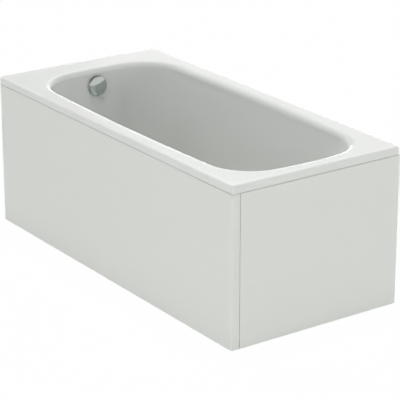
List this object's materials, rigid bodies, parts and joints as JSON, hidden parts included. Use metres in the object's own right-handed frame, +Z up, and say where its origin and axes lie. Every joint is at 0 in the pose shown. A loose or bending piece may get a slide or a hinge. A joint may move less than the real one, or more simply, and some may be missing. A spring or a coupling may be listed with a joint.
{
  "type": "bathtub",
  "caption": "Rectangular built-in bathtub with a rounded basin, sloping back rest, front and end panels, levelling feet, turning overflow knob, pop-up plug and trap.",
  "frame": {"origin": "centre of the footprint, on the floor under the levelling feet", "axes": "+X towards the sloping back rest and the end panel, -X towards the overflow and waste, -Y towards the front panel, +Y towards the long wall, +Z up"},
  "size_m": [1.5, 0.7, 0.577],
  "materials": {
    "white_acrylic": "glossy sanitary acrylic, glass-fibre backed below",
    "white_panel": "satin-gloss acrylic sheet",
    "timber_board": "raw particle board",
    "zinc_steel": "zinc-plated steel",
    "chrome": "polished chrome",
    "brass": "turned brass",
    "black_rubber": "matt rubber",
    "black_plastic": "matt moulded plastic",
    "grey_plastic": "moulded polypropylene"
  },
  "bodies": {
    "tub": {"bath_shell": "white_acrylic", "base_board": "timber_board", "rim_batten_front": "timber_board", "rim_batten_back": "timber_board", "rim_batten_overflow_end": "timber_board", "rim_batten_panel_end": "timber_board", "leg_bar_overflow_end": "zinc_steel", "foot_nuts_overflow_end": "zinc_steel", "leg_bar_back_end": "zinc_steel", "foot_nuts_back_end": "zinc_steel", "front_panel_clip_1": "zinc_steel", "front_panel_clip_2": "zinc_steel", "front_panel_clip_3": "zinc_steel", "end_panel_clip_1": "zinc_steel", "end_panel_clip_2": "zinc_steel", "front_panel_stay_1": "zinc_steel", "front_panel_stay_2": "zinc_steel", "end_panel_angle_1": "zinc_steel", "end_panel_angle_2": "zinc_steel", "wall_bracket_back_1": "zinc_steel", "wall_bracket_back_2": "zinc_steel", "wall_bracket_end": "zinc_steel", "timber_screws": "zinc_steel", "drain_flange": "chrome", "waste_gaskets": "black_rubber", "waste_body": "grey_plastic", "rocker_pin": "brass", "trap": "grey_plastic", "trap_nuts": "grey_plastic", "outlet_pipe": "grey_plastic", "overflow_face": "chrome", "overflow_screws": "zinc_steel", "overflow_body": "grey_plastic", "overflow_pipe": "grey_plastic", "pipe_nuts": "grey_plastic", "control_cable": "black_plastic"},
    "knob": {"overflow_knob": "chrome", "knob_spindle": "brass"},
    "plug": {"drain_plug": "chrome", "plug_seal": "black_rubber"},
    "rocker": {"lift_rocker": "brass"},
    "front_cover": {"front_panel": "white_panel"},
    "end_cover": {"end_panel": "white_panel"},
    "pad_1": {"foot_pad_1": "black_plastic"},
    "rod_1": {"foot_rod_1": "zinc_steel"},
    "pad_2": {"foot_pad_2": "black_plastic"},
    "rod_2": {"foot_rod_2": "zinc_steel"},
    "pad_3": {"foot_pad_3": "black_plastic"},
    "rod_3": {"foot_rod_3": "zinc_steel"},
    "pad_4": {"foot_pad_4": "black_plastic"},
    "rod_4": {"foot_rod_4": "zinc_steel"}
  },
  "joints": [
    {"name": "knob_turn", "type": "hinge", "parent": "tub", "child": "knob", "pos_m": [-0.61601, 0, 0.513], "axis": [0.9903, 0, 0.1392], "range_deg": [0, 90]},
    {"name": "plug_lift", "type": "slide", "parent": "tub", "child": "plug", "axis": [0, 0, 1], "range_m": [0, 0.012]},
    {"name": "rocker_swing", "type": "hinge", "parent": "tub", "child": "rocker", "pos_m": [-0.44903, 0, 0.106], "axis": [0, -1, 0], "range_deg": [0, 35]},
    {"name": "front_panel_pull", "type": "slide", "parent": "tub", "child": "front_cover", "axis": [0, -1, 0], "range_m": [0, 0.15]},
    {"name": "end_panel_pull", "type": "slide", "parent": "tub", "child": "end_cover", "axis": [1, 0, 0], "range_m": [0, 0.15]},
    {"name": "foot_1_height", "type": "slide", "parent": "tub", "child": "pad_1", "axis": [0, 0, -1], "range_m": [0, 0.03]},
    {"name": "foot_1_turn", "type": "hinge", "parent": "pad_1", "child": "rod_1", "pos_m": [-0.33, -0.26, 0.02], "axis": [0, 0, 1], "range_deg": [0, 7200]},
    {"name": "foot_2_height", "type": "slide", "parent": "tub", "child": "pad_2", "axis": [0, 0, -1], "range_m": [0, 0.03]},
    {"name": "foot_2_turn", "type": "hinge", "parent": "pad_2", "child": "rod_2", "pos_m": [-0.33, 0.26, 0.02], "axis": [0, 0, 1], "range_deg": [0, 7200]},
    {"name": "foot_3_height", "type": "slide", "parent": "tub", "child": "pad_3", "axis": [0, 0, -1], "range_m": [0, 0.03]},
    {"name": "foot_3_turn", "type": "hinge", "parent": "pad_3", "child": "rod_3", "pos_m": [0.23, -0.26, 0.02], "axis": [0, 0, 1], "range_deg": [0, 7200]},
    {"name": "foot_4_height", "type": "slide", "parent": "tub", "child": "pad_4", "axis": [0, 0, -1], "range_m": [0, 0.03]},
    {"name": "foot_4_turn", "type": "hinge", "parent": "pad_4", "child": "rod_4", "pos_m": [0.23, 0.26, 0.02], "axis": [0, 0, 1], "range_deg": [0, 7200]}
  ],
  "couplings": [
    {"joint": "plug_lift", "follows": "knob_turn", "m_per_rad": 0.0076394},
    {"joint": "rocker_swing", "follows": "knob_turn", "ratio": 0.38888},
    {"joint": "foot_1_turn", "follows": "foot_1_height", "rad_per_m": 4188.8},
    {"joint": "foot_2_turn", "follows": "foot_2_height", "rad_per_m": 4188.8},
    {"joint": "foot_3_turn", "follows": "foot_3_height", "rad_per_m": 4188.8},
    {"joint": "foot_4_turn", "follows": "foot_4_height", "rad_per_m": 4188.8}
  ]
}
